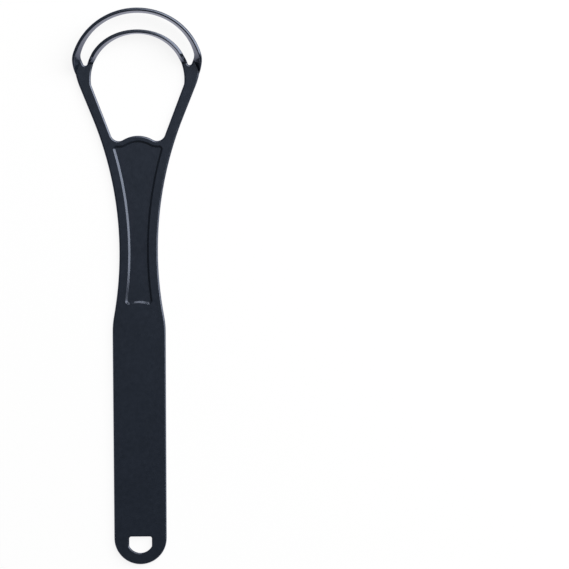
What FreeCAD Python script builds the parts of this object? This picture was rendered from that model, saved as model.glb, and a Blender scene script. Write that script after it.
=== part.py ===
import FreeCAD, Part
import math
import os

import Sketcher

# A double-loop tongue scraper: one blank of steel sheet, pressed and bent.
# The scraper lies on its back, front face up. X runs across it, Y runs from the handle to the head,
# and the origin is under the waist of the neck, on the face that the scraper rests on.

# Driving dimensions, in millimetres and degrees, with what each one measures.
SIZES = [
    ("sheet_thickness", 1.0, "gauge of the sheet"),
    ("edge_break", 0.29, "chamfer of the cut edges"),
    ("edge_limit_share", 0.4, "largest chamfer of a cut edge as a share of the gauge"),
    ("handle_reach", 89.9, "waist to the end of the handle"),
    ("handle_end_width", 15.05, "handle width at its round end"),
    ("handle_width", 15.3, "handle width below the neck"),
    ("handle_blend_radius", 23.0, "outer corner between handle and neck"),
    ("hole_margin", 3.25, "end of the handle to the hang hole"),
    ("hole_width", 6.5, "hang hole across the handle"),
    ("hole_height", 4.7, "hang hole along the handle"),
    ("hole_bottom_radius", 3.7, "curved side of the hang hole"),
    ("hole_corner_radius", 0.6, "corners of the hang hole's straight side"),
    ("hole_foot_radius", 0.8, "corners of the hang hole's curved side"),
    ("waist_width", 11.1, "narrowest width of the neck"),
    ("crest_from_waist", 33.4, "waist to the crest between the arms"),
    ("crest_radius", 8.3, "crest between the arms"),
    ("valley_radius", 2.4, "hollows beside the crest"),
    ("valley_spacing", 11.0, "between the centres of the two hollows"),
    ("opening_from_waist", 49.6, "waist to the centre of the head's opening"),
    ("opening_radius", 13.45, "round end of the head's opening"),
    ("kink_angle", 5.0, "where the opening's round end turns into the arms"),
    ("kink_radius", 2.0, "turn from the opening's round end into the arms"),
    ("arm_lean", 22.0, "outer edge of an arm from straight ahead"),
    ("shoulder_lean", 12.3, "outer edge from straight ahead where the fold starts"),
    ("shoulder_radius", 22.8, "curve of the outer edge at the shoulder"),
    ("inner_fold_rise", 4.2, "opening's centre to the fold of the inner loop"),
    ("inner_fold_width", 1.6, "inner fold across the shoulder"),
    ("slot_rise", 4.7, "opening's centre to the ends of the slot"),
    ("slot_end_radius", 0.65, "round ends of the slot"),
    ("slot_side_width", 1.09, "slot's end to the outer fold, across"),
    ("slot_side_rise", 1.0, "slot's end to the outer fold, along"),
    ("outer_fold_width", 1.69, "outer fold across the shoulder"),
    ("outer_fold_drop", 4.1, "outer fold along the shoulder"),
    ("panel_frame", 2.73, "flat border beside the pressed panel"),
    ("panel_top_gap", 1.5, "flat border above the pressed panel"),
    ("panel_foot", 14.6, "waist to the foot of the pressed panel"),
    ("panel_arch_radius", 8.7, "arch in the panel's foot"),
    ("panel_corner_radius", 0.9, "corners of the pressed panel"),
    ("panel_depth", 0.5, "depth of the pressed panel"),
    ("panel_wall_angle", 30.0, "slope of the panel's walls from upright"),
    ("panel_wall_break", 0.12, "chamfer along the panel's walls"),
    ("inner_rise", 13.1, "opening's centre to the top of the inner loop's root"),
    ("slot_gap", 4.86, "slot between the loops, at the middle"),
    ("outer_centre_rise", 3.9, "opening's centre to the outer loop's centre"),
    ("outer_spread", 16.65, "outer loop's root from the middle, at its widest"),
    ("outer_band_width", 3.7, "width of the outer loop's band"),
    ("inner_band_width", 3.5, "width of the inner loop's band"),
    ("outer_side_tilt", 70.0, "outer loop's tilt at the shoulders"),
    ("outer_top_tilt", 83.5, "outer loop's tilt at the middle"),
    ("inner_side_tilt", 79.0, "inner loop's tilt at the shoulders"),
    ("inner_top_tilt", 88.5, "inner loop's tilt at the middle"),
    ("outer_bend_angle", 12.5, "where the outer loop has turned up, round its centre"),
    ("inner_bend_angle", 31.0, "where the inner loop has turned up, round the opening"),
    ("outer_lift", 0.2, "outer loop's root above the front face"),
    ("inner_drop", 0.7, "inner loop's root below the front face"),
    ("parting_offset", 1.0, "where the nodes part, past the end of a curved edge"),
    ("match_share", 0.01, "tolerance for finding a wall, as a share of the gauge"),
    ("cut_overrun", 6.0, "how far cutting shapes reach past the sheet"),
]

# Sections along a loop: across each bend, and from there to the middle.
# The powers set how soon a bend reaches its full tilt, its final span in plan and its final heading.
BEND_STEPS = 4
ARC_STEPS = 9
OUTER_BEND_POWER = 1.9
INNER_BEND_POWER = 3.2
SPAN_POWER = 1.3
TURN_POWER = 1.3

UP = FreeCAD.Vector(0, 0, 1)

# Numbers that a sketch gives to the places on a curve, to its own two axes and to its origin.
START, END, CENTRE = range(1, 4)
X_AXIS, Y_AXIS = range(-1, -3, -1)
ORIGIN = (X_AXIS, START)

document = FreeCAD.newDocument("tongue_scraper")


def make_sheet():
    """Spreadsheet of the driving dimensions, one alias a row."""
    sheet = document.addObject("Spreadsheet::Sheet", "sizes")
    for row, (name, value, meaning) in enumerate(SIZES, start=1):
        sheet.set(f"A{row}", meaning)
        sheet.set(f"B{row}", str(value))
        sheet.setAlias(f"B{row}", name)
    document.recompute()
    return sheet


sizes = make_sheet()


def radians(name):
    """An angle of the sheet in radians."""
    return math.radians(sizes.get(name))


def heading(angle):
    """Unit vector in the sheet's plane at an angle in radians from +X."""
    return FreeCAD.Vector(math.cos(angle), math.sin(angle), 0)


class Head:
    """Places in the plan of the head, which the flat blank and the loops share."""

    def __init__(self):
        self.opening = FreeCAD.Vector(0, sizes.opening_from_waist, 0)
        self.inner_start = math.asin(sizes.inner_fold_rise / sizes.opening_radius)
        self.inner_root = self.opening + heading(self.inner_start) * sizes.opening_radius
        slot_x = self.inner_root.x + sizes.inner_fold_width + sizes.slot_end_radius
        self.slot_end = FreeCAD.Vector(slot_x, self.opening.y + sizes.slot_rise, 0)
        self.inner_free = self.slot_end - FreeCAD.Vector(sizes.slot_end_radius, 0, 0)
        side = FreeCAD.Vector(sizes.slot_side_width, sizes.slot_side_rise, 0)
        self.outer_root = self.slot_end + side
        self.slot_turn = math.atan2(side.y, side.x) - math.acos(sizes.slot_end_radius / side.Length)
        fold = FreeCAD.Vector(sizes.outer_fold_width, -sizes.outer_fold_drop, 0)
        self.outer_free = self.outer_root + fold


head = Head()


def arc(centre, radius, first, last):
    """Arc of a circle, anticlockwise between two angles in radians."""
    return Part.ArcOfCircle(Part.Circle(centre, UP, radius), first, last)


def line(first, last):
    """Straight sketch line."""
    return Part.LineSegment(first, last)


def join(sketch, kind, *places):
    """Constraint without a size."""
    sketch.addConstraint(Sketcher.Constraint(kind, *places))


def measure(sketch, expression, kind, *places):
    """Constraint with a size that follows the sheet."""
    quantity = sketch.evalExpression(expression)
    value = getattr(quantity, "Value", quantity)
    if kind == "Angle":
        value = math.radians(value)
    index = sketch.addConstraint(Sketcher.Constraint(kind, *places, value))
    sketch.setExpression(f"Constraints[{index}]", expression)


def report(sketch, name, kind, *places):
    """Named reading of a sketch that other features follow."""
    index = sketch.addConstraint(Sketcher.Constraint(kind, *places, 0.0))
    sketch.setDriving(index, False)
    sketch.renameConstraint(index, name)


def origin_plane(body, role):
    """One of a body's own origin planes."""
    return next(plane for plane in body.Origin.OriginFeatures if plane.Role == role)


def flat_sketch(body, name, height):
    """Sketch parallel to the sheet at a height that follows the sheet of sizes."""
    sketch = body.newObject("Sketcher::SketchObject", name)
    sketch.AttachmentSupport = (origin_plane(body, "XY_Plane"), [""])
    sketch.MapMode = "FlatFace"
    sketch.setExpression("AttachmentOffset.Base.z", height)
    return sketch


BACK = "sizes.panel_depth"
FRONT = "(sizes.panel_depth + sizes.sheet_thickness)"


# The neck's hollow sides are upright at the waist and run straight on into the arms,
# so their radius follows from the waist and from where the arms' outer edges meet the shoulders.
ARM = "(sizes.arm_lean * 1 deg)"
SHOULDER = "(sizes.shoulder_lean * 1 deg)"
FOLD_X = (
    "sqrt(sizes.opening_radius ^ 2 - sizes.inner_fold_rise ^ 2) + sizes.inner_fold_width"
    " + sizes.slot_end_radius + sizes.slot_side_width + sizes.outer_fold_width"
)
FOLD_Y = "sizes.opening_from_waist + sizes.slot_rise + sizes.slot_side_rise - sizes.outer_fold_drop"
SHOULDER_X = f"({FOLD_X} + sizes.shoulder_radius * (cos{ARM} - cos{SHOULDER}))"
SHOULDER_Y = f"({FOLD_Y} + sizes.shoulder_radius * (sin{SHOULDER} - sin{ARM}))"
NECK_INSET = f"({SHOULDER_X} - sizes.waist_width / 2)"
NECK_RADIUS = f"(({SHOULDER_Y} * sin{ARM} - {NECK_INSET} * cos{ARM}) / (1 - cos{ARM}))"


def shoulder_centre():
    """Centre of the curve along the outer edge of the right shoulder."""
    return head.outer_free - heading(-radians("shoulder_lean")) * sizes.shoulder_radius


def outline_sketch(body):
    """Right half of the flat blank, from the handle's end to the folds of the loops."""
    sketch = flat_sketch(body, "blank_outline", BACK)
    lean = radians("arm_lean")
    kink = radians("kink_angle")
    bend = float(sketch.evalExpression(NECK_RADIUS))
    neck = FreeCAD.Vector(sizes.waist_width / 2 + bend, 0, 0)
    blend_x = sizes.handle_width / 2 - sizes.handle_blend_radius
    reach = bend + sizes.handle_blend_radius
    turn = math.acos((neck.x - blend_x) / reach)
    blend = FreeCAD.Vector(blend_x, -reach * math.sin(turn), 0)
    end_radius = sizes.handle_end_width / 2
    foot = FreeCAD.Vector(0, -sizes.handle_reach, 0)
    end_centre = FreeCAD.Vector(0, end_radius - sizes.handle_reach, 0)
    crest_centre = FreeCAD.Vector(0, sizes.crest_from_waist - sizes.crest_radius, 0)
    crest = FreeCAD.Vector(0, sizes.crest_from_waist, 0)
    fall = math.acos(sizes.valley_spacing / 2 / (sizes.crest_radius + sizes.valley_radius))
    valley = crest_centre + heading(fall) * (sizes.crest_radius + sizes.valley_radius)
    kink_centre = head.opening + heading(-kink) * (sizes.opening_radius - sizes.kink_radius)
    arm_low = neck + heading(math.pi - lean) * bend
    arm_high = shoulder_centre() + heading(-lean) * sizes.shoulder_radius
    inner_low = valley + heading(-lean) * sizes.valley_radius
    inner_high = kink_centre + heading(-lean) * sizes.kink_radius

    side_low = end_centre + heading(0) * end_radius
    side_high = blend + heading(0) * sizes.handle_blend_radius

    add = sketch.addGeometry
    end_arc = add(arc(end_centre, end_radius, -math.pi / 2, 0))
    side = add(line(side_low, side_high))
    corner = add(arc(blend, sizes.handle_blend_radius, 0, turn))
    neck_low = add(arc(neck, bend, math.pi, math.pi + turn))
    neck_high = add(arc(neck, bend, math.pi - lean, math.pi))
    arm_outer = add(line(arm_low, arm_high))
    shoulder_turn = -radians("shoulder_lean")
    shoulder = add(arc(shoulder_centre(), sizes.shoulder_radius, -lean, shoulder_turn))
    outer_fold = add(line(head.outer_free, head.outer_root))
    slot_side_foot = head.slot_end + heading(head.slot_turn) * sizes.slot_end_radius
    slot_side = add(line(head.outer_root, slot_side_foot))
    slot_end = add(arc(head.slot_end, sizes.slot_end_radius, math.pi, 2 * math.pi + head.slot_turn))
    inner_fold = add(line(head.inner_free, head.inner_root))
    opening = add(arc(head.opening, sizes.opening_radius, -kink, head.inner_start))
    kink_turn = add(arc(kink_centre, sizes.kink_radius, -lean, -kink))
    arm_inner = add(line(inner_low, inner_high))
    hollow = add(arc(valley, sizes.valley_radius, math.pi + fall, 2 * math.pi - lean))
    crown = add(arc(crest_centre, sizes.crest_radius, fall, math.pi / 2))
    axis = add(line(crest, foot))

    join(sketch, "PointOnObject", end_arc, START, Y_AXIS)
    join(sketch, "PointOnObject", end_arc, CENTRE, Y_AXIS)
    join(sketch, "Tangent", end_arc, END, side, START)
    join(sketch, "Tangent", side, END, corner, START)
    join(sketch, "Tangent", corner, END, neck_low, END)
    join(sketch, "Coincident", neck_low, START, neck_high, END)
    join(sketch, "Coincident", neck_low, CENTRE, neck_high, CENTRE)
    join(sketch, "PointOnObject", neck_high, CENTRE, X_AXIS)
    join(sketch, "PointOnObject", neck_high, END, X_AXIS)
    join(sketch, "Tangent", neck_high, START, arm_outer, START)
    join(sketch, "Tangent", arm_outer, END, shoulder, START)
    join(sketch, "Coincident", shoulder, END, outer_fold, START)
    join(sketch, "Coincident", outer_fold, END, slot_side, START)
    join(sketch, "Tangent", slot_side, END, slot_end, END)
    join(sketch, "Horizontal", slot_end, CENTRE, slot_end, START)
    join(sketch, "Coincident", slot_end, START, inner_fold, START)
    join(sketch, "Coincident", inner_fold, END, opening, END)
    join(sketch, "PointOnObject", opening, CENTRE, Y_AXIS)
    join(sketch, "Tangent", opening, START, kink_turn, END)
    join(sketch, "Tangent", kink_turn, START, arm_inner, END)
    join(sketch, "Tangent", arm_inner, START, hollow, END)
    join(sketch, "Tangent", hollow, START, crown, START)
    join(sketch, "PointOnObject", crown, CENTRE, Y_AXIS)
    join(sketch, "PointOnObject", crown, END, Y_AXIS)
    join(sketch, "Coincident", crown, END, axis, START)
    join(sketch, "Coincident", axis, END, end_arc, START)

    measure(sketch, "sizes.handle_reach", "DistanceY", end_arc, START, *ORIGIN)
    measure(sketch, "sizes.handle_end_width / 2", "Radius", end_arc)
    measure(sketch, "sizes.handle_width / 2", "DistanceX", *ORIGIN, side, END)
    measure(sketch, "sizes.handle_blend_radius", "Radius", corner)
    measure(sketch, "sizes.waist_width / 2", "DistanceX", *ORIGIN, neck_high, END)
    measure(sketch, "(90 - sizes.arm_lean) * 1 deg", "Angle", arm_outer)
    measure(sketch, "sizes.shoulder_radius", "Radius", shoulder)
    tilt = "sizes.shoulder_radius * sin(sizes.shoulder_lean * 1 deg)"
    measure(sketch, tilt, "DistanceY", shoulder, END, shoulder, CENTRE)
    measure(sketch, "sizes.outer_fold_width", "DistanceX", outer_fold, END, outer_fold, START)
    measure(sketch, "sizes.outer_fold_drop", "DistanceY", outer_fold, START, outer_fold, END)
    measure(sketch, "sizes.slot_end_radius", "Radius", slot_end)
    measure(sketch, "sizes.slot_side_width", "DistanceX", slot_end, CENTRE, slot_side, START)
    measure(sketch, "sizes.slot_side_rise", "DistanceY", slot_end, CENTRE, slot_side, START)
    measure(sketch, "sizes.slot_rise", "DistanceY", opening, CENTRE, slot_end, CENTRE)
    measure(sketch, "sizes.inner_fold_width", "DistanceX", inner_fold, END, inner_fold, START)
    measure(sketch, "sizes.inner_fold_rise", "DistanceY", opening, CENTRE, opening, END)
    measure(sketch, "sizes.opening_from_waist", "DistanceY", *ORIGIN, opening, CENTRE)
    measure(sketch, "sizes.opening_radius", "Radius", opening)
    kink_drop = "sizes.opening_radius * sin(sizes.kink_angle * 1 deg)"
    measure(sketch, kink_drop, "DistanceY", opening, START, opening, CENTRE)
    measure(sketch, "sizes.kink_radius", "Radius", kink_turn)
    measure(sketch, "sizes.valley_radius", "Radius", hollow)
    measure(sketch, "sizes.valley_spacing / 2", "DistanceX", *ORIGIN, hollow, CENTRE)
    measure(sketch, "sizes.crest_radius", "Radius", crown)
    measure(sketch, "sizes.crest_from_waist", "DistanceY", *ORIGIN, crown, END)

    report(sketch, "handle_top", "DistanceY", corner, START, *ORIGIN)
    report(sketch, "arm_root_x", "DistanceX", *ORIGIN, arm_inner, START)
    report(sketch, "arm_root_y", "DistanceY", *ORIGIN, arm_inner, START)
    report(sketch, "arm_rise", "Angle", arm_inner)
    return sketch


def hole_sketch(body):
    """D-shaped hang hole, its straight side towards the head."""
    sketch = flat_sketch(body, "hang_hole_outline", FRONT)
    half = sizes.hole_width / 2
    corner = sizes.hole_corner_radius
    foot = sizes.hole_foot_radius
    bottom = sizes.hole_margin - sizes.handle_reach
    top = bottom + sizes.hole_height
    bowl = FreeCAD.Vector(0, bottom + sizes.hole_bottom_radius, 0)
    swing = math.acos((half - foot) / (sizes.hole_bottom_radius - foot))
    foot_y = bowl.y - (sizes.hole_bottom_radius - foot) * math.sin(swing)

    def at(x, y):
        return FreeCAD.Vector(x, y, 0)

    add = sketch.addGeometry
    quarter = math.pi / 2
    top_side = add(line(at(half - corner, top), at(corner - half, top)))
    top_left = add(arc(at(corner - half, top - corner), corner, quarter, 2 * quarter))
    left_side = add(line(at(-half, top - corner), at(-half, foot_y)))
    low_left = add(arc(at(foot - half, foot_y), foot, 2 * quarter, 2 * quarter + swing))
    bowl_side = add(arc(bowl, sizes.hole_bottom_radius, 2 * quarter + swing, 4 * quarter - swing))
    low_right = add(arc(at(half - foot, foot_y), foot, 4 * quarter - swing, 4 * quarter))
    right_side = add(line(at(half, foot_y), at(half, top - corner)))
    top_right = add(arc(at(half - corner, top - corner), corner, 0, quarter))

    ring = [top_side, top_left, left_side, low_left, bowl_side, low_right, right_side, top_right]
    for first, second in zip(ring, ring[1:] + ring[:1]):
        join(sketch, "Tangent", first, END, second, START)
    join(sketch, "Horizontal", top_side)
    join(sketch, "Vertical", left_side)
    join(sketch, "Vertical", right_side)
    join(sketch, "PointOnObject", bowl_side, CENTRE, Y_AXIS)
    for index in (top_left, top_right):
        measure(sketch, "sizes.hole_corner_radius", "Radius", index)
    for index in (low_left, low_right):
        measure(sketch, "sizes.hole_foot_radius", "Radius", index)
    measure(sketch, "sizes.hole_bottom_radius", "Radius", bowl_side)
    measure(sketch, "sizes.hole_width / 2", "DistanceX", *ORIGIN, right_side, START)
    measure(sketch, "sizes.hole_width / 2", "DistanceX", left_side, END, *ORIGIN)
    depth = "sizes.handle_reach - sizes.hole_margin"
    measure(sketch, f"{depth} - sizes.hole_height", "DistanceY", top_side, START, *ORIGIN)
    measure(sketch, f"{depth} - sizes.hole_bottom_radius", "DistanceY", bowl_side, CENTRE, *ORIGIN)
    return sketch


def panel_sketch(body, name, height, spread):
    """Outline of the pressed panel, spread outwards by an expression."""
    sketch = flat_sketch(body, name, height)
    grow = float(sketch.evalExpression(spread))
    bend = float(sketch.evalExpression(NECK_RADIUS))
    neck = FreeCAD.Vector(sizes.waist_width / 2 + bend, 0, 0)
    side_radius = bend + sizes.panel_frame - grow
    corner = sizes.panel_corner_radius + grow
    crest_centre = FreeCAD.Vector(0, sizes.crest_from_waist - sizes.crest_radius, 0)
    crest_radius = sizes.crest_radius - sizes.panel_top_gap + grow
    fall = math.acos(sizes.valley_spacing / 2 / (sizes.crest_radius + sizes.valley_radius))
    valley = crest_centre + heading(fall) * (sizes.crest_radius + sizes.valley_radius)
    valley_radius = sizes.valley_radius + sizes.panel_top_gap - grow
    arch_radius = sizes.panel_arch_radius - grow
    arch = FreeCAD.Vector(0, -sizes.panel_foot - sizes.panel_arch_radius, 0)

    top = corner_centre(neck, side_radius + corner, valley, valley_radius + corner, min)
    low = corner_centre(neck, side_radius + corner, arch, arch_radius + corner, max)

    def angle(centre, point):
        return math.atan2(point.y - centre.y, point.x - centre.x)

    def flipped(point):
        return FreeCAD.Vector(-point.x, point.y, 0)

    full = 2 * math.pi
    half = math.pi
    side_first = angle(neck, top) % full
    side_last = angle(neck, low) % full
    arch_first = angle(arch, low)
    top_first = angle(top, neck)
    top_last = angle(top, valley)
    low_first = angle(low, arch) % full
    low_last = angle(low, neck) % full + full
    valley_first = half + fall
    valley_last = angle(valley, top) % full

    add = sketch.addGeometry
    right = add(arc(neck, side_radius, side_first, side_last))
    low_right = add(arc(low, corner, low_first, low_last))
    top_right = add(arc(top, corner, top_first, top_last))
    valley_right = add(arc(valley, valley_radius, valley_first, valley_last))
    crown = add(arc(crest_centre, crest_radius, fall, half - fall))
    valley_left = add(arc(flipped(valley), valley_radius, half - valley_last, half - valley_first))
    top_left = add(arc(flipped(top), corner, half - top_last, half - top_first))
    left = add(arc(flipped(neck), side_radius, half - side_last, half - side_first))
    low_left = add(arc(flipped(low), corner, half - low_last, half - low_first))
    arch_arc = add(arc(arch, arch_radius, arch_first, half - arch_first))

    for joint in (
        (right, END, low_right, END),
        (low_right, START, arch_arc, START),
        (right, START, top_right, START),
        (top_right, END, valley_right, END),
        (valley_right, START, crown, START),
        (crown, END, valley_left, END),
        (valley_left, START, top_left, START),
        (top_left, END, left, END),
        (left, START, low_left, START),
        (low_left, END, arch_arc, END),
    ):
        join(sketch, "Tangent", *joint)
    join(sketch, "PointOnObject", right, CENTRE, X_AXIS)
    join(sketch, "PointOnObject", left, CENTRE, X_AXIS)
    join(sketch, "PointOnObject", crown, CENTRE, Y_AXIS)
    join(sketch, "PointOnObject", arch_arc, CENTRE, Y_AXIS)

    for index in (right, left):
        measure(sketch, f"{NECK_RADIUS} + sizes.panel_frame - {spread}", "Radius", index)
    for index in (low_right, top_right, low_left, top_left):
        measure(sketch, f"sizes.panel_corner_radius + {spread}", "Radius", index)
    for index in (valley_right, valley_left):
        measure(sketch, f"sizes.valley_radius + sizes.panel_top_gap - {spread}", "Radius", index)
    measure(sketch, f"sizes.crest_radius - sizes.panel_top_gap + {spread}", "Radius", crown)
    measure(sketch, f"sizes.panel_arch_radius - {spread}", "Radius", arch_arc)
    offset = f"sizes.waist_width / 2 + {NECK_RADIUS}"
    measure(sketch, offset, "DistanceX", *ORIGIN, right, CENTRE)
    measure(sketch, offset, "DistanceX", left, CENTRE, *ORIGIN)
    measure(sketch, "sizes.valley_spacing / 2", "DistanceX", *ORIGIN, valley_right, CENTRE)
    measure(sketch, "sizes.valley_spacing / 2", "DistanceX", valley_left, CENTRE, *ORIGIN)
    crown_rise = "sizes.crest_from_waist - sizes.crest_radius"
    measure(sketch, crown_rise, "DistanceY", *ORIGIN, crown, CENTRE)
    arch_drop = "sizes.panel_foot + sizes.panel_arch_radius"
    measure(sketch, arch_drop, "DistanceY", arch_arc, CENTRE, *ORIGIN)
    return sketch


def corner_centre(first, first_reach, second, second_reach, choose):
    """Point at given distances from two centres, the lower or the higher one as chosen."""
    between = second - first
    span = between.Length
    along = (first_reach**2 - second_reach**2 + span**2) / (2 * span)
    away = math.sqrt(first_reach**2 - along**2)
    across = FreeCAD.Vector(-between.y, between.x, 0) / span
    middle = first + between * (along / span)
    return choose((middle + across * away, middle - across * away), key=lambda point: point.y)


def level_edges(shape, low, high, skip=()):
    """Names of the level edges along the walls that rise from one height to another."""
    tolerance = sizes.sheet_thickness * sizes.match_share
    chosen = []
    for face in shape.Faces:
        box = face.BoundBox
        if abs(box.ZMin - low) > tolerance or abs(box.ZMax - high) > tolerance:
            continue
        if any(face.distToShape(Part.Vertex(point))[0] < tolerance for point in skip):
            continue
        chosen += [edge for edge in face.Edges if edge.BoundBox.ZLength < tolerance]
    return [
        f"Edge{number}"
        for number, edge in enumerate(shape.Edges, start=1)
        if any(edge.isSame(other) for other in chosen)
    ]


def fold_points(height):
    """Middles of the four folds, where the loops grow out of the flat sheet."""
    outer = (head.outer_root + head.outer_free) / 2
    inner = (head.inner_root + head.inner_free) / 2
    middles = []
    for point in (outer, inner):
        middles.append(FreeCAD.Vector(point.x, point.y, height))
        middles.append(FreeCAD.Vector(-point.x, point.y, height))
    return middles


def chamfer(body, name, size, edges):
    """Chamfer along the named edges of the body's last feature."""
    last = body.Tip
    feature = body.newObject("PartDesign::Chamfer", name)
    feature.Base = (last, edges)
    feature.setExpression("Size", size)
    document.recompute()
    return feature


def make_stamping():
    """The flat part of the scraper: blank, hang hole, pressed panel and broken edges."""
    back = sizes.panel_depth
    front = sizes.panel_depth + sizes.sheet_thickness
    body = document.addObject("PartDesign::Body", "stamping")

    half = body.newObject("PartDesign::Pad", "half_blank")
    half.Profile = outline_sketch(body)
    half.setExpression("Length", "sizes.sheet_thickness")
    document.recompute()
    blank = body.newObject("PartDesign::Mirrored", "blank")
    blank.Originals = [half]
    blank.MirrorPlane = (origin_plane(body, "YZ_Plane"), [""])
    body.Tip = blank
    document.recompute()

    hole = body.newObject("PartDesign::Pocket", "hang_hole")
    hole.Profile = hole_sketch(body)
    hole.setExpression("Length", "sizes.sheet_thickness + sizes.cut_overrun")
    document.recompute()

    recess = body.newObject("PartDesign::Pocket", "panel_recess")
    recess.Profile = panel_sketch(body, "panel_mouth", FRONT, "0")
    recess.setExpression("Length", "sizes.panel_depth")
    recess.setExpression("TaperAngle", "-sizes.panel_wall_angle * 1 deg")
    document.recompute()

    spread = "sizes.sheet_thickness * tan(sizes.panel_wall_angle / 2 * 1 deg)"
    swell = body.newObject("PartDesign::Pad", "panel_swell")
    swell.Profile = panel_sketch(body, "panel_back", BACK, spread)
    swell.Reversed = True
    swell.setExpression("Length", "sizes.panel_depth")
    swell.setExpression("TaperAngle", "-sizes.panel_wall_angle * 1 deg")
    document.recompute()
    volumes = [feature.Shape.Volume for feature in (blank, hole, recess, swell)]
    if not volumes[0] > volumes[1] > volumes[2] < volumes[3]:
        raise RuntimeError(f"a pocket or pad points the wrong way: {volumes}")

    walls = level_edges(body.Tip.Shape, front - sizes.panel_depth, front)
    walls += level_edges(body.Tip.Shape, back - sizes.panel_depth, back)
    chamfer(body, "panel_wall_breaks", "sizes.panel_wall_break", walls)
    folds = fold_points(back + sizes.sheet_thickness / 2)
    rims = level_edges(body.Tip.Shape, back, front, skip=folds)
    limit = "min(sizes.edge_break; sizes.sheet_thickness * sizes.edge_limit_share)"
    chamfer(body, "broken_rims", limit, rims)
    return body


def zone_box(name, length, width):
    """Box that marks one stretch of the stamping, taller than the sheet on both sides."""
    box = document.addObject("Part::Box", name)
    box.setExpression("Length", length)
    box.setExpression("Width", width)
    box.setExpression("Height", "sizes.sheet_thickness + sizes.panel_depth + 2 * sizes.cut_overrun")
    return box


def boolean(kind, name, base, tool):
    """Part boolean of two objects."""
    result = document.addObject(kind, name)
    result.Base = base
    result.Tool = tool
    return result


def mirrored(name, source):
    """Mirror image across the scraper's middle."""
    image = document.addObject("Part::Mirroring", name)
    image.Source = source
    image.Normal = FreeCAD.Vector(1, 0, 0)
    return image


def split_stamping(body):
    """Handle, neck and arms, parted where the form changes."""
    outline = document.getObject("blank_outline")
    readings = {
        name: outline.getDatum(name).Value
        for name in ("handle_top", "arm_root_x", "arm_root_y", "arm_rise")
    }
    over = sizes.cut_overrun

    handle_zone = zone_box("handle_zone", "2 * sizes.handle_width", "sizes.handle_reach")
    zone_foot = -readings["handle_top"] - sizes.parting_offset - sizes.handle_reach
    handle_zone.Placement.Base = FreeCAD.Vector(-sizes.handle_width, zone_foot, -over)

    turn = FreeCAD.Rotation(UP, readings["arm_rise"] - 90)
    root = FreeCAD.Vector(readings["arm_root_x"], readings["arm_root_y"], 0)
    arm_span = "2 * sizes.cut_overrun + sizes.outer_fold_drop"
    arm_zone = zone_box("arm_zone", arm_span, "sizes.opening_from_waist")
    corner = root + turn.multVec(FreeCAD.Vector(-over, sizes.parting_offset, -over))
    arm_zone.Placement = FreeCAD.Placement(corner, turn)

    left_zone = mirrored("left_zone", arm_zone)
    others = document.addObject("Part::MultiFuse", "other_zones")
    others.Shapes = [handle_zone, arm_zone, left_zone]
    handle = boolean("Part::Common", "handle", body, handle_zone)
    neck = boolean("Part::Cut", "neck", body, others)
    right_arm = boolean("Part::Common", "right_arm", body, arm_zone)
    left_arm = mirrored("left_arm", right_arm)
    document.recompute()
    return [handle, neck, right_arm, left_arm]


def band_section(root, out, tilt, width, height):
    """Section of a loop's band, at a plan point, tilted up by an angle in radians."""
    gauge = sizes.sheet_thickness
    edge = min(sizes.edge_break, gauge * sizes.edge_limit_share)
    along = out * math.cos(tilt) + UP * math.sin(tilt)
    through = out * math.sin(tilt) - UP * math.cos(tilt)
    first = root + UP * height
    free = first + along * width
    corners = [first, free, free + through * gauge, first + through * gauge]
    sides = [along, through, -along, -through]
    points = []
    for number, corner in enumerate(corners):
        points.append(corner - sides[number - 1] * edge)
        points.append(corner + sides[number] * edge)
    return Part.makePolygon(points + points[:1])


def ease(share):
    """Smooth rise from 0 to 1 that starts and ends level."""
    return math.sin(share * math.pi / 2) ** 2


def settle(share, power=3):
    """Rise from 0 to 1 that starts fast and ends level."""
    return 1 - (1 - share) ** power


def blend(first, last, share):
    """Value or point part of the way between two others."""
    return first + (last - first) * share


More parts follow.
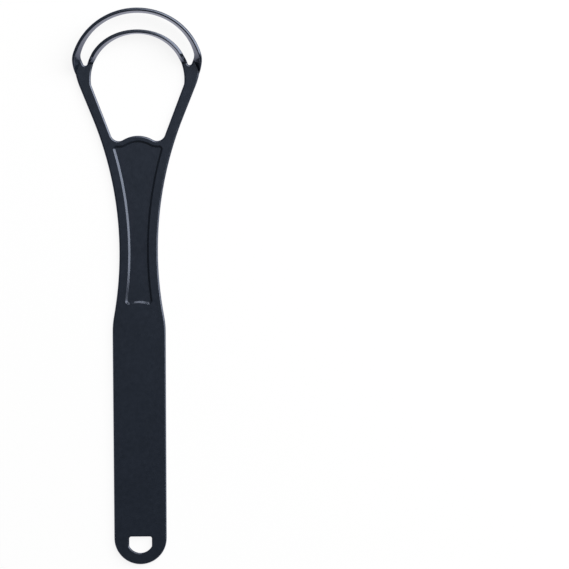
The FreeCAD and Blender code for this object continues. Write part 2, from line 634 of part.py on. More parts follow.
class Loop:
    """Band that is bent up on edge between the shoulders, its root half an ellipse in plan."""

    def __init__(self, name, fold, centre, spans, band_width, lift, rise, bend_power):
        self.name = name
        self.fold_root, self.fold_free = fold
        self.centre = centre
        self.half_width, self.half_height = spans
        self.band_width = band_width
        self.lift = lift
        self.rise = rise
        self.bend_power = bend_power
        self.front = sizes.panel_depth + sizes.sheet_thickness
        self.start = radians(f"{name}_bend_angle")
        self.side_tilt = radians(f"{name}_side_tilt")
        self.top_tilt = radians(f"{name}_top_tilt")

    def place(self, angle):
        """Plan point of the root at an angle round the loop."""
        across = self.half_width * math.cos(angle)
        along = self.half_height * math.sin(angle)
        return self.centre + FreeCAD.Vector(across, along, 0)

    def facing(self, angle):
        """Plan angle that the band faces at an angle round the loop."""
        return math.atan2(math.sin(angle) / self.half_height, math.cos(angle) / self.half_width)

    def bend_sections(self):
        """Sections from the fold in the right shoulder to the upright band."""
        fold = self.fold_free - self.fold_root
        fold_facing = math.atan2(fold.y, fold.x)
        gauge = sizes.sheet_thickness
        reach = self.band_width * math.cos(self.side_tilt) + gauge * math.sin(self.side_tilt)
        sections = []
        for step in range(BEND_STEPS + 1):
            share = step / BEND_STEPS
            tilt = self.side_tilt * settle(share, self.bend_power)
            span = blend(reach, fold.Length, (1 - share) ** SPAN_POWER)
            width = (span - gauge * math.sin(tilt)) / math.cos(tilt)
            root = blend(self.fold_root, self.place(self.start), share)
            out = heading(blend(fold_facing, self.facing(self.start), share**TURN_POWER))
            sections.append(band_section(root, out, tilt, width, self.front + self.lift * share))
        return sections

    def arch_sections(self):
        """Sections along the upright band, from the right shoulder to the left one."""
        sections = []
        for step in range(-ARC_STEPS, ARC_STEPS + 1):
            angle = blend(math.pi / 2, self.start, -step / ARC_STEPS)
            share = 1 - abs(step) / ARC_STEPS
            tilt = blend(self.side_tilt, self.top_tilt, self.rise(share))
            out = heading(self.facing(angle))
            height = self.front + self.lift
            sections.append(band_section(self.place(angle), out, tilt, self.band_width, height))
        return sections

    def build(self):
        """The band as one solid: an arch with a bend at each end."""
        right = Part.makeLoft(self.bend_sections(), True, False)
        left = right.mirror(FreeCAD.Vector(), FreeCAD.Vector(1, 0, 0))
        arch = Part.makeLoft(self.arch_sections(), True, False)
        loop = document.addObject("Part::Feature", f"{self.name}_loop")
        loop.Shape = arch.fuse([right, left])
        return loop


def make_loops():
    """Outer and inner loop."""
    tilt = radians("inner_top_tilt")
    inner_reach = sizes.inner_band_width * math.cos(tilt) + sizes.sheet_thickness * math.sin(tilt)
    outer_height = sizes.inner_rise + inner_reach + sizes.slot_gap - sizes.outer_centre_rise
    outer = Loop(
        "outer",
        (head.outer_root, head.outer_free),
        head.opening + FreeCAD.Vector(0, sizes.outer_centre_rise, 0),
        (sizes.outer_spread, outer_height),
        sizes.outer_band_width,
        sizes.outer_lift,
        settle,
        OUTER_BEND_POWER,
    )
    inner = Loop(
        "inner",
        (head.inner_root, head.inner_free),
        head.opening,
        (sizes.opening_radius, sizes.inner_rise),
        sizes.inner_band_width,
        -sizes.inner_drop,
        ease,
        INNER_BEND_POWER,
    )
    return [outer.build(), inner.build()]


def check_document(nodes):
    """Stop unless every object is sound and every node is one valid solid."""
    for item in document.Objects:
        if "Invalid" in item.State or "Error" in item.State:
            raise RuntimeError(f"{item.Name} failed: {item.State}")
    for node in nodes:
        shape = node.Shape
        if shape.isNull() or not shape.isValid() or len(shape.Solids) != 1 or shape.Volume <= 0:
            raise RuntimeError(f"{node.Label} is not one valid solid")


def write_parts(nodes):
    """One STEP file for each node."""
    os.makedirs("parts", exist_ok=True)
    for node in nodes:
        node.Shape.exportStep(f"parts/{node.Label}.step")
        print(f"{node.Label}: {node.Shape.Volume:.1f} mm3")


def main():
    """Build the scraper and write its nodes."""
    nodes = split_stamping(make_stamping())
    nodes += make_loops()
    document.recompute()
    check_document(nodes)
    write_parts(nodes)


main()
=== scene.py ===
"""A coated steel tongue scraper, seen from above on a pale floor.

The scraper is one stamped and bent sheet. Its flat stretches are the frame's own solids, with their
broken edges rounded and their pressed walls eased to one slope. Its two scraping loops are swept anew,
section by section.
"""

import logging
import math
from abc import ABC, abstractmethod
from collections.abc import Iterable
from dataclasses import astuple, dataclass
from enum import Enum
from typing import Any

import bmesh
import bpy
import numpy
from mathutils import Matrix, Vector


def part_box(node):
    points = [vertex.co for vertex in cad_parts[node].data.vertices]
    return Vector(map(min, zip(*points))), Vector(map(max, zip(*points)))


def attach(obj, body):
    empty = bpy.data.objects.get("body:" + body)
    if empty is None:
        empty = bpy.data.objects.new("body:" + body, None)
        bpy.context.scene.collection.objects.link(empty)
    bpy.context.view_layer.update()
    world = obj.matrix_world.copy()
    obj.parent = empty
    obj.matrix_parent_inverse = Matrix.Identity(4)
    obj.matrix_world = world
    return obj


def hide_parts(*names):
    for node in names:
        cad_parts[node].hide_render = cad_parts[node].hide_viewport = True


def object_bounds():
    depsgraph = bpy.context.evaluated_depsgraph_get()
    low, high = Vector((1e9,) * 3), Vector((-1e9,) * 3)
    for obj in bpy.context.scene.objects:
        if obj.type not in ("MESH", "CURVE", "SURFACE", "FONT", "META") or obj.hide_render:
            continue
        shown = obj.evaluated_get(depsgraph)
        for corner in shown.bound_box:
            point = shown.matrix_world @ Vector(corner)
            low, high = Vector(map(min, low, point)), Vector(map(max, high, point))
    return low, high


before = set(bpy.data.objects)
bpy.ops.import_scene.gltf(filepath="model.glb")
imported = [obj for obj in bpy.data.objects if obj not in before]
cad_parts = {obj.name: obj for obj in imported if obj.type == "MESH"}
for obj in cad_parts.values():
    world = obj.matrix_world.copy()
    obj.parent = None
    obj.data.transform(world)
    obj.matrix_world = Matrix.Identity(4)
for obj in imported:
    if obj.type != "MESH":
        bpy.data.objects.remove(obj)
CAD_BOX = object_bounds()

MM = 0.001
BODY = "root"

# Attributes of the points: how much of a rim they are, and their place in a loop's section
RIM = "rim"
PLACE = "place"

# Limits for the solids' meshes
MERGE_DISTANCE = 0.001 * MM
FLAT_ANGLE = math.radians(0.5)
SQUARE_ANGLE = math.radians(60)

# Sockets of a Light Path node, and of a Mix node that mixes colours
CAMERA_RAY = "Is Camera Ray"
GLOSSY_RAY = "Is Glossy Ray"
MIX_SHARE = 0
MIX_FIRST = 6
MIX_SECOND = 7
MIX_RESULT = 2

Colour = tuple[float, float, float, float]
WHITE: Colour = (1, 1, 1, 1)

# Mean of a noise, power of an early rise, and weight of a station itself when it is eased
NOISE_MEAN = 0.5
EARLY_POWER = 3
OWN_WEIGHT = 2

log = logging.getLogger("scraper")


def mixed(first: float, last: float, share: float) -> float:
    """Value part of the way from one to another.

    Args:
        first: Value at share 0.
        last: Value at share 1.
        share: Place between them.

    Returns:
        The value there.
    """
    return first + (last - first) * share


class Rise(Enum):
    """How a loop's lean grows from the shoulder to its middle."""

    EARLY = "fast at first, then level"
    EVEN = "level at both ends"

    def at(self, share: float) -> float:
        """Share of the full lean.

        Args:
            share: Place along the loop, 0 at the shoulder and 1 at the middle.

        Returns:
            A value from 0 to 1.
        """
        if self is Rise.EARLY:
            return 1 - (1 - share) ** EARLY_POWER
        return math.sin(share * math.pi / 2) ** 2


class Scalar:
    """A value in a node tree, which Python's operators extend with Math nodes."""

    def __init__(self, tree: "ShaderTree", socket: bpy.types.NodeSocket) -> None:
        """Wrap an output socket of a tree."""
        self.tree = tree
        self.socket = socket

    def math(self, operation: str, first: Any, second: Any) -> "Scalar":
        """Math node on two values.

        Args:
            operation: The node's operation.
            first: Scalar or number.
            second: Scalar or number.

        Returns:
            The node's result.
        """
        node = self.tree.node("ShaderNodeMath", {"operation": operation}, {0: first, 1: second})
        return Scalar(self.tree, node.outputs[0])

    def __add__(self, other: Any) -> "Scalar":
        """Sum."""
        return self.math("ADD", self, other)

    def __radd__(self, other: Any) -> "Scalar":
        """Sum with a number in front."""
        return self.math("ADD", other, self)

    def __sub__(self, other: Any) -> "Scalar":
        """Difference."""
        return self.math("SUBTRACT", self, other)

    def __rsub__(self, other: Any) -> "Scalar":
        """Difference from a number."""
        return self.math("SUBTRACT", other, self)

    def __mul__(self, other: Any) -> "Scalar":
        """Product."""
        return self.math("MULTIPLY", self, other)

    def __rmul__(self, other: Any) -> "Scalar":
        """Product with a number in front."""
        return self.math("MULTIPLY", other, self)


class ShaderTree:
    """Node tree of a material or a world, filled node by node."""

    def __init__(self, owner: bpy.types.Material | bpy.types.World) -> None:
        """Start with an empty tree.

        Args:
            owner: Material or world that the tree belongs to.
        """
        owner.use_nodes = True
        self.tree = owner.node_tree
        self.tree.nodes.clear()

    def node(
        self,
        kind: str,
        settings: dict[str, Any] | None = None,
        inputs: dict[str | int, Any] | None = None,
    ) -> bpy.types.Node:
        """Add a node.

        Args:
            kind: Type of the node.
            settings: Properties, set first.
            inputs: Values, scalars or sockets for the node's inputs.

        Returns:
            The new node.
        """
        made = self.tree.nodes.new(kind)
        for name, value in (settings or {}).items():
            setattr(made, name, value)
        for name, value in (inputs or {}).items():
            socket = made.inputs[name]
            if isinstance(value, Scalar):
                self.tree.links.new(value.socket, socket)
            elif isinstance(value, bpy.types.NodeSocket):
                self.tree.links.new(value, socket)
            else:
                socket.default_value = value
        return made

    def scalar(self, kind: str, settings: dict[str, Any], inputs: dict, output: str) -> Scalar:
        """Add a node and wrap one of its outputs.

        Args:
            kind: Type of the node.
            settings: Properties of the node.
            inputs: Values or links of its inputs.
            output: Name of the output to wrap.

        Returns:
            The output as a scalar.
        """
        return Scalar(self, self.node(kind, settings, inputs).outputs[output])

    def noise(self, place: bpy.types.NodeSocket, grain: float, detail: float) -> Scalar:
        """Noise over an object.

        Args:
            place: Coordinates.
            grain: Size of one grain in metres.
            detail: Octaves.

        Returns:
            The noise, about 0.5 on average.
        """
        inputs = {"Vector": place, "Scale": 1 / grain, "Detail": detail}
        return self.scalar("ShaderNodeTexNoise", {}, inputs, "Fac")

    def blend(self, share: Scalar, first: Any, second: Any) -> bpy.types.NodeSocket:
        """Mix two colours.

        Args:
            share: How much of the second colour.
            first: Colour or socket.
            second: Colour or socket.

        Returns:
            The mixed colour.
        """
        inputs = {MIX_SHARE: share, MIX_FIRST: first, MIX_SECOND: second}
        return self.node("ShaderNodeMix", {"data_type": "RGBA"}, inputs).outputs[MIX_RESULT]


@dataclass(frozen=True)
class SatinCoat:
    """Blue-black satin coat over rolled steel, a little thinner along the cut edges."""

    name: str = "satin_coat"
    colour: Colour = (0.0105, 0.0150, 0.0240, 1)
    deep_colour: Colour = (0.0035, 0.0058, 0.0100, 1)
    rim_colour: Colour = (0.0100, 0.0130, 0.0200, 1)
    tint: Colour = (0.72, 0.80, 1.0, 1)
    ior: float = 1.8
    roughness: float = 0.20
    roughness_spread: float = 0.08
    rim_polish: float = 0.03
    cloud_size: float = 9 * MM
    cloud_octaves: float = 3
    mottle_size: float = 1.3 * MM
    mottle_octaves: float = 4
    mottle_share: float = 0.5
    grain_size: float = 0.28 * MM
    grain_octaves: float = 2
    grain_depth: float = 0.0016 * MM
    rolling_width: float = 0.22 * MM
    rolling_length: float = 14 * MM
    rolling_octaves: float = 3
    rolling_share: float = 0.45
    rim_share: float = 0.6

    def material(self) -> bpy.types.Material:
        """Make the coat.

        Returns:
            The material.
        """
        made = bpy.data.materials.new(self.name)
        tree = ShaderTree(made)
        place = tree.node("ShaderNodeTexCoord").outputs["Object"]
        rim = tree.scalar("ShaderNodeAttribute", {"attribute_name": RIM}, {}, "Fac")
        cloud = tree.noise(place, self.cloud_size, self.cloud_octaves)
        mottle = tree.noise(place, self.mottle_size, self.mottle_octaves)
        grain = tree.noise(place, self.grain_size, self.grain_octaves)
        stretch = (1 / self.rolling_width, 1 / self.rolling_length, 1 / self.rolling_width)
        stretched = tree.node("ShaderNodeMapping", {}, {"Vector": place, "Scale": stretch})
        rolling = tree.noise(stretched.outputs["Vector"], 1, self.rolling_octaves)

        light = cloud * (1 - self.mottle_share) + mottle * self.mottle_share
        worn = rim * mottle * self.rim_share
        colour = tree.blend(light, self.deep_colour, self.colour)
        colour = tree.blend(worn, colour, self.rim_colour)
        uneven = (mottle - NOISE_MEAN) * self.roughness_spread
        roughness = uneven + self.roughness - rim * self.rim_polish
        height = grain * (1 - self.rolling_share) + rolling * self.rolling_share
        relief = {"Height": height, "Distance": self.grain_depth}
        bump = tree.node("ShaderNodeBump", {}, relief)
        shader = tree.node(
            "ShaderNodeBsdfPrincipled",
            {},
            {
                "Base Color": colour,
                "Roughness": roughness,
                "Normal": bump.outputs["Normal"],
                "IOR": self.ior,
                "Specular Tint": self.tint,
            },
        )
        tree.node("ShaderNodeOutputMaterial", {}, {"Surface": shader.outputs["BSDF"]})
        return made


@dataclass(frozen=True)
class PaleFloor:
    """White floor that takes the scraper's shadow."""

    name: str = "pale_floor"
    colour: Colour = (0.92, 0.92, 0.92, 1)
    cool_white: Colour = (0.85, 0.86, 1.0, 1)
    white_share: float = 0.88

    def material(self) -> bpy.types.Material:
        """Make the floor's paint, whitened where the camera or a reflection sees it.

        Returns:
            The material.
        """
        made = bpy.data.materials.new(self.name)
        tree = ShaderTree(made)
        rays = tree.node("ShaderNodeLightPath").outputs
        seen = Scalar(tree, rays[CAMERA_RAY]) + Scalar(tree, rays[GLOSSY_RAY])
        paint = tree.node("ShaderNodeBsdfDiffuse", {}, {"Color": self.colour})
        shade = tree.blend(Scalar(tree, rays[GLOSSY_RAY]), WHITE, self.cool_white)
        white = tree.node("ShaderNodeEmission", {}, {"Color": shade})
        shaders = {1: paint.outputs["BSDF"], 2: white.outputs["Emission"]}
        mix = tree.node("ShaderNodeMixShader", {}, {"Fac": seen * self.white_share, **shaders})
        tree.node("ShaderNodeOutputMaterial", {}, {"Surface": mix.outputs["Shader"]})
        return made


@dataclass
class SheetPiece(ABC):
    """A stretch of the stamping that stands for one node of the frame."""

    node: str
    piece: str

    @abstractmethod
    def build(self) -> bpy.types.Object:
        """Make the piece's object."""

    def finish_mesh(self, shape: bmesh.types.BMesh) -> bpy.types.Object:
        """Turn a bmesh into the piece's object, smooth except at its square ends.

        Args:
            shape: Closed shape in metres; it is freed.

        Returns:
            The object.
        """
        for face in shape.faces:
            face.smooth = True
        for edge in shape.edges:
            edge.smooth = edge.calc_face_angle(0) < SQUARE_ANGLE
        mesh = bpy.data.meshes.new(self.piece)
        shape.to_mesh(mesh)
        shape.free()
        made = bpy.data.objects.new(self.piece, mesh)
        bpy.context.scene.collection.objects.link(made)
        weighting = made.modifiers.new("even_shading", "WEIGHTED_NORMAL")
        weighting.keep_sharp = True
        return made

    def dress(self, made: bpy.types.Object, coat: bpy.types.Material) -> None:
        """Coat the piece and put it in its node's place.

        Args:
            made: The piece's object.
            coat: Its finish.
        """
        made.data.materials.append(coat)
        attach(made, BODY)
        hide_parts(self.node)
        log.info("%s: %d faces", made.name, len(made.data.polygons))


@dataclass(frozen=True)
class Rounding:
    """How edges of one kind are rounded over."""

    turn: float
    offset: float
    segments: int
    slack: float = math.radians(6)
    clamp: bool = True

    def apply(self, shape: bmesh.types.BMesh, edges: Iterable[bmesh.types.BMEdge]) -> None:
        """Bevel those edges whose faces turn by about this angle.

        Args:
            shape: Shape that has the edges.
            edges: Edges to choose from.
        """
        chosen = [edge for edge in edges if abs(edge.calc_face_angle(0) - self.turn) < self.slack]
        bmesh.ops.bevel(
            shape,
            geom=chosen,
            offset=self.offset,
            offset_type="OFFSET",
            affect="EDGES",
            segments=self.segments,
            profile=0.5,
            material=-1,
            clamp_overlap=self.clamp,
        )


RIM_ROUNDING = Rounding(turn=math.radians(45), offset=0.19 * MM, segments=3)
WALL_ROUNDING = Rounding(turn=math.radians(43), offset=0.05 * MM, segments=3, clamp=False)


@dataclass
class FlatStrip(SheetPiece):
    """Flat stretch: the frame's solid, with the edges of its chamfers rounded over."""

    flat_area: float = 2 * MM * MM
    wall_turn: float = math.radians(60)
    wall_slack: float = math.radians(4)
    wall_ease: float = 0.55

    def build(self) -> bpy.types.Object:
        """Round the solid's broken edges and ease its pressed walls.

        Returns:
            The piece's object.
        """
        shape = bmesh.new()
        shape.from_mesh(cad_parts[self.node].data)
        bmesh.ops.remove_doubles(shape, verts=shape.verts, dist=MERGE_DISTANCE)
        bmesh.ops.dissolve_limit(
            shape, angle_limit=FLAT_ANGLE, verts=shape.verts, edges=shape.edges
        )
        walls = self.pressed_walls(shape)
        RIM_ROUNDING.apply(shape, shape.edges)
        for wall in walls:
            self.ease_wall(shape, wall)
        self.mark_rims(shape)
        return self.finish_mesh(shape)

    def pressed_walls(self, shape: bmesh.types.BMesh) -> list[list[bmesh.types.BMVert]]:
        """Find the steep middles of the pressed walls, on the back and on the front.

        Args:
            shape: Solid with its broken edges.

        Returns:
            The points of each wall, or nothing where the strip has no pressed panel.
        """
        steep = {
            vert
            for face in shape.faces
            if abs(math.acos(min(abs(face.normal.z), 1)) - self.wall_turn) < self.wall_slack
            for vert in face.verts
        }
        low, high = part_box(self.node)
        middle = (low.z + high.z) / 2
        back = [vert for vert in shape.verts if vert in steep and vert.co.z < middle]
        front = [vert for vert in shape.verts if vert in steep and vert.co.z > middle]
        return [wall for wall in (back, front) if wall]

    def ease_wall(self, shape: bmesh.types.BMesh, wall: list[bmesh.types.BMVert]) -> None:
        """Give a pressed wall one even slope and round its brow and foot.

        Args:
            shape: Shape that holds the wall.
            wall: Points of its steep middle.
        """
        beside = {edge.other_vert(vert) for vert in wall for edge in vert.link_edges}
        heights = [vert.co.z for vert in beside]
        steep = [vert.co.z for vert in wall]
        middle = (min(steep) + max(steep)) / 2
        eased = [mixed(middle, height, self.wall_ease) for height in (min(steep), max(steep))]
        before = [min(heights), min(steep), max(steep), max(heights)]
        after = [min(heights), *eased, max(heights)]
        for vert in beside.union(wall):
            vert.co.z = numpy.interp(vert.co.z, before, after)
        shape.normal_update()
        flats = self.flats(shape)
        borders = [edge for edge in shape.edges if not flats.isdisjoint(edge.link_faces)]
        WALL_ROUNDING.apply(shape, borders)

    def flats(self, shape: bmesh.types.BMesh) -> set[bmesh.types.BMFace]:
        """Large flat faces of the strip."""
        return {face for face in shape.faces if face.calc_area() > self.flat_area}

    def mark_rims(self, shape: bmesh.types.BMesh) -> None:
        """Mark the points of the rims, which no large flat face touches.

        Args:
            shape: Rounded shape.
        """
        flats = self.flats(shape)
        layer = shape.verts.layers.float.new(RIM)
        for vert in shape.verts:
            vert[layer] = float(flats.isdisjoint(vert.link_faces))


@dataclass(frozen=True)
class Station:
    """One section of a loop: its root corner, plan direction, lean and width."""

    x: float
    y: float
    z: float
    facing: float
    tilt: float
    width: float

    def point(self, along: float, through: float) -> Vector:
        """Point of the section.

        Args:
            along: Distance from the root towards the free edge.
            through: Distance from the inner face into the sheet.

        Returns:
            The point in the scraper's frame.
        """
        out = Vector((math.cos(self.facing), math.sin(self.facing), 0))
        rise = Vector((0, 0, 1))
        lengthways = out * math.cos(self.tilt) + rise * math.sin(self.tilt)
        inwards = out * math.sin(self.tilt) - rise * math.cos(self.tilt)
        return Vector((self.x, self.y, self.z)) + lengthways * along + inwards * through

    def between(self, before: "Station", after: "Station") -> "Station":
        """Station eased towards its two neighbours.

        Args:
            before: Station in front.
            after: Station behind.

        Returns:
            Weighted mean of the three.
        """
        values = zip(astuple(before), astuple(self), astuple(after))
        total = OWN_WEIGHT + 2
        return Station(*((first + OWN_WEIGHT * own + last) / total for first, own, last in values))

    def mirrored(self) -> "Station":
        """Station on the other side of the scraper's middle."""
        return Station(-self.x, self.y, self.z, math.pi - self.facing, self.tilt, self.width)


@dataclass
class ScrapingLoop(SheetPiece):
    """Band bent up on edge between the shoulders, its root half an ellipse in plan."""

    fold_root: Vector
    fold_free: Vector
    centre_y: float
    half_width: float
    half_height: float
    band_width: float
    lift: float
    side_tilt: float
    top_tilt: float
    bend_angle: float
    rise: Rise
    front: float
    gauge: float
    bend_power: float
    inner_radius: float = 0.32 * MM
    outer_radius: float = 0.5 * MM
    edge_segments: int = 6
    bend_steps: int = 12
    arch_steps: int = 48
    span_power: float = 1.36
    turn_power: float = 1.3
    easing_passes: int = 6

    def upright(self, share: float) -> Station:
        """Station of the upright band.

        Args:
            share: 0 at the end of the bend and 1 at the loop's middle.

        Returns:
            The station on the right half.
        """
        angle = mixed(self.bend_angle, math.pi / 2, share)
        across = math.cos(angle)
        ahead = math.sin(angle)
        return Station(
            x=self.half_width * across,
            y=self.centre_y + self.half_height * ahead,
            z=self.front + self.lift,
            facing=math.atan2(ahead / self.half_height, across / self.half_width),
            tilt=mixed(self.side_tilt, self.top_tilt, self.rise.at(share)),
            width=self.band_width,
        )

    def bending(self, share: float) -> Station:
        """Station between the fold in the shoulder and the upright band.

        Args:
            share: 0 at the fold and 1 where the band is upright.

        Returns:
            The station on the right half.
        """
        goal = self.upright(0)
        fold = self.fold_free - self.fold_root
        reach = self.band_width * math.cos(self.side_tilt) + self.gauge * math.sin(self.side_tilt)
        span = mixed(reach, fold.length, (1 - share) ** self.span_power)
        tilt = self.side_tilt * (1 - (1 - share) ** self.bend_power)
        return Station(
            x=mixed(self.fold_root.x, goal.x, share),
            y=mixed(self.fold_root.y, goal.y, share),
            z=mixed(self.front, goal.z, share),
            facing=mixed(math.atan2(fold.y, fold.x), goal.facing, share**self.turn_power),
            tilt=tilt,
            width=(span - self.gauge * math.sin(tilt)) / math.cos(tilt),
        )

    def stations(self) -> list[Station]:
        """Stations from the right fold to the left one.

        Returns:
            The stations, eased where the bends run into the arch.
        """
        half = [self.bending(step / self.bend_steps) for step in range(self.bend_steps)]
        half += [self.upright(step / self.arch_steps) for step in range(self.arch_steps + 1)]
        line = half + [station.mirrored() for station in reversed(half[:-1])]
        for _ in range(self.easing_passes):
            inner = [now.between(*pair) for now, *pair in zip(line[1:], line, line[2:])]
            line = [line[0], *inner, line[-1]]
        return line

    def section(self, shape: bmesh.types.BMesh) -> bmesh.types.BMFace:
        """Rounded section of the band, which remembers its own places.

        Args:
            shape: Empty bmesh.

        Returns:
            The section's face, with X from root to free edge and Y into the sheet.
        """
        corners = [(0, 0), (self.band_width, 0), (self.band_width, self.gauge), (0, self.gauge)]
        verts = [shape.verts.new((*corner, 0)) for corner in corners]
        shape.faces.new(verts)
        for pair, radius in ((verts[:2], self.inner_radius), (verts[2:], self.outer_radius)):
            bmesh.ops.bevel(
                shape,
                geom=pair,
                offset=radius,
                offset_type="OFFSET",
                affect="VERTICES",
                segments=self.edge_segments,
                profile=0.5,
                material=-1,
            )
        face = next(iter(shape.faces))
        place = shape.verts.layers.float_vector.new(PLACE)
        rim = shape.verts.layers.float.new(RIM)
        for vert in face.verts:
            vert[place] = vert.co
            from_root = min(vert.co.x, self.band_width - vert.co.x)
            from_face = min(vert.co.y, self.gauge - vert.co.y)
            radius = self.inner_radius if vert.co.y < self.gauge / 2 else self.outer_radius
            vert[rim] = float(max(from_root, from_face) < radius - MERGE_DISTANCE)
        return face

    def seat(self, shape: bmesh.types.BMesh, face: bmesh.types.BMFace, station: Station) -> None:
        """Move a section to its station, with its corners kept as the width changes.

        Args:
            shape: The band's bmesh.
            face: The section's face.
            station: Where it goes.
        """
        place = shape.verts.layers.float_vector[PLACE]
        spare = station.width - self.band_width
        for vert in face.verts:
            along, through, _ = vert[place]
            if along > self.band_width / 2:
                along += spare
            vert.co = station.point(along, through)

    def build(self) -> bpy.types.Object:
        """Sweep the section along the loop.

        Returns:
            The piece's object.
        """
        shape = bmesh.new()
        face = self.section(shape)
        line = self.stations()
        self.seat(shape, face, line[0])
        for station in line[1:]:
            grown = bmesh.ops.extrude_face_region(shape, geom=[face])["geom"]
            face = next(item for item in grown if isinstance(item, bmesh.types.BMFace))
            self.seat(shape, face, station)
        self.clear_inside(shape)
        bmesh.ops.recalc_face_normals(shape, faces=shape.faces)
        return self.finish_mesh(shape)

    def clear_inside(self, shape: bmesh.types.BMesh) -> None:
        """Delete the sections that the sweep leaves inside the band.

        Args:
            shape: Swept band.
        """
        inside = [
            face for face in shape.faces if all(len(edge.link_faces) > 2 for edge in face.edges)
        ]
        bmesh.ops.delete(shape, geom=inside, context="FACES_ONLY")


def direction(azimuth: float, elevation: float) -> Vector:
    """Unit vector towards a place in the studio.

    Args:
        azimuth: Degrees from the scraper's right, towards its head.
        elevation: Degrees above the floor.

    Returns:
        The vector.
    """
    turn = math.radians(azimuth)
    rise = math.radians(elevation)
    level = math.cos(rise)
    return Vector((math.cos(turn) * level, math.sin(turn) * level, math.sin(rise)))


@dataclass(frozen=True)
class SoftBox:
    """Square soft light that faces the scraper; its level is what it gives a white floor."""

    name: str
    azimuth: float
    elevation: float
    distance: float
    width: float
    level: float

    def build(self, target: Vector) -> None:
        """Hang the light.

        Args:
            target: Point that it faces.
        """
        away = direction(self.azimuth, self.elevation)
        lamp = bpy.data.lights.new(self.name, "AREA")
        lamp.size = self.width
        lamp.energy = self.level * (math.pi * self.distance) ** 2 / away.z
        made = bpy.data.objects.new(self.name, lamp)
        made.location = target + away * self.distance
        made.rotation_mode = "QUATERNION"
        made.rotation_quaternion = (-away).to_track_quat("-Z", "Y")
        bpy.context.scene.collection.objects.link(made)
        log.info("%s: %.1f W", self.name, lamp.energy)


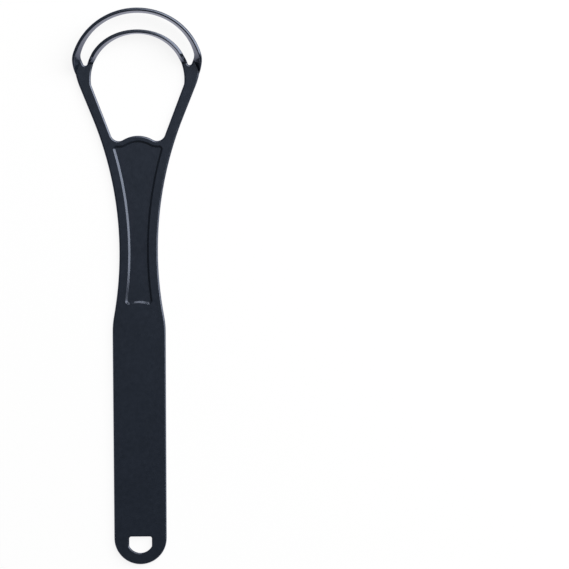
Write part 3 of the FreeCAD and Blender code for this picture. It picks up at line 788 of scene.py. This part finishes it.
@dataclass(frozen=True)
class Studio:
    """Floor, soft light and the photograph's camera."""

    floor_half: float = 8.0
    floor_gap: float = 0.05 * MM
    dome_level: float = 0.085
    glow_level: float = 1.05
    glow_azimuth: float = 50
    glow_elevation: float = 60
    glow_edge: float = 0.84
    lights: tuple[SoftBox, ...] = (
        SoftBox("key_light", azimuth=45, elevation=45, distance=1.2, width=1.2, level=0.95),
        SoftBox("side_light", azimuth=16, elevation=15, distance=1.2, width=0.9, level=0.15),
        SoftBox("low_light", azimuth=90, elevation=10, distance=1.2, width=0.42, level=0.016),
    )
    camera_x: float = 41.9 * MM
    camera_y: float = -9.7 * MM
    camera_height: float = 1000 * MM
    camera_roll: float = math.radians(-0.38)
    frame_width: float = 163.65 * MM
    sensor: float = 36.0

    def build_floor(self, height: float) -> None:
        """Lay the floor under the scraper.

        Args:
            height: Lowest point of the scraper.
        """
        shape = bmesh.new()
        bmesh.ops.create_grid(shape, x_segments=1, y_segments=1, size=self.floor_half)
        bmesh.ops.translate(shape, vec=(0, 0, height - self.floor_gap), verts=shape.verts)
        mesh = bpy.data.meshes.new("floor")
        shape.to_mesh(mesh)
        shape.free()
        mesh.materials.append(PaleFloor().material())
        floor = bpy.data.objects.new("floor", mesh)
        bpy.context.scene.collection.objects.link(floor)

    def build_dome(self) -> None:
        """Surround the scraper with dim light that glows on one side, and is white to the camera."""
        world = bpy.data.worlds.new("dome")
        bpy.context.scene.world = world
        tree = ShaderTree(world)
        seen = tree.scalar("ShaderNodeLightPath", {}, {}, CAMERA_RAY)
        place = tree.node("ShaderNodeTexCoord").outputs["Generated"]
        towards = tree.scalar(
            "ShaderNodeVectorMath",
            {"operation": "DOT_PRODUCT"},
            {0: place, 1: direction(self.glow_azimuth, self.glow_elevation)},
            "Value",
        )
        glow = tree.scalar(
            "ShaderNodeMapRange",
            {"interpolation_type": "SMOOTHSTEP"},
            {
                "Value": towards,
                "From Min": self.glow_edge,
                "From Max": 1.0,
                "To Min": self.dome_level,
                "To Max": self.glow_level,
            },
            "Result",
        )
        strength = seen + (1 - seen) * glow
        light = tree.node("ShaderNodeBackground", {}, {"Color": WHITE, "Strength": strength})
        tree.node("ShaderNodeOutputWorld", {}, {"Surface": light.outputs["Background"]})

    def build_camera(self, height: float) -> None:
        """Hang the camera over the scraper, looking straight down.

        Args:
            height: Height of the front face, where the frame's width is measured.
        """
        lens = bpy.data.cameras.new("camera")
        lens.sensor_width = self.sensor
        lens.lens = self.sensor * self.camera_height / self.frame_width
        camera = bpy.data.objects.new("camera", lens)
        camera.location = (self.camera_x, self.camera_y, height + self.camera_height)
        camera.rotation_euler = (0, 0, self.camera_roll)
        bpy.context.scene.collection.objects.link(camera)
        bpy.context.scene.camera = camera

    def build(self, low: Vector, high: Vector, front: float) -> None:
        """Build the whole studio.

        Args:
            low: Lowest corner of the scraper.
            high: Highest corner of the scraper.
            front: Height of its front face.
        """
        self.build_floor(low.z)
        self.build_dome()
        for light in self.lights:
            light.build((low + high) / 2)
        self.build_camera(front)
        bpy.context.scene.view_settings.view_transform = "Standard"


def scraping_loops() -> list[ScrapingLoop]:
    """The two loops, at the heights of the frame's sheet.

    Returns:
        Outer and inner loop.
    """
    low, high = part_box("handle")
    sheet = {"front": high.z, "gauge": high.z - low.z}
    outer = ScrapingLoop(
        node="outer_loop",
        piece="outer_band",
        fold_root=Vector((16.117, 55.30)) * MM,
        fold_free=Vector((17.807, 51.20)) * MM,
        centre_y=53.5 * MM,
        half_width=16.65 * MM,
        half_height=15.151 * MM,
        band_width=3.7 * MM,
        lift=0.2 * MM,
        side_tilt=math.radians(70),
        top_tilt=math.radians(83.5),
        bend_angle=math.radians(12.5),
        rise=Rise.EARLY,
        bend_power=1.9,
        **sheet,
    )
    inner = ScrapingLoop(
        node="inner_loop",
        piece="inner_band",
        fold_root=Vector((12.777, 53.80)) * MM,
        fold_free=Vector((14.377, 54.30)) * MM,
        centre_y=49.6 * MM,
        half_width=13.45 * MM,
        half_height=13.1 * MM,
        band_width=3.5 * MM,
        lift=-0.7 * MM,
        side_tilt=math.radians(79),
        top_tilt=math.radians(88.5),
        bend_angle=math.radians(31),
        rise=Rise.EVEN,
        bend_power=3.2,
        inner_radius=0.2 * MM,
        outer_radius=0.22 * MM,
        **sheet,
    )
    return [outer, inner]


def main() -> None:
    """Build and dress the scraper, then set up the studio."""
    logging.basicConfig(level=logging.INFO, format="%(name)s: %(message)s")
    coat = SatinCoat().material()
    flat_nodes = ("handle", "neck", "left_arm", "right_arm")
    strips = [FlatStrip(node, f"{node}_strip") for node in flat_nodes]
    for piece in (*strips, *scraping_loops()):
        piece.dress(piece.build(), coat)
    low, high = CAD_BOX
    Studio().build(low, high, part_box("handle")[1].z)


if __name__ == "__main__":
    main()
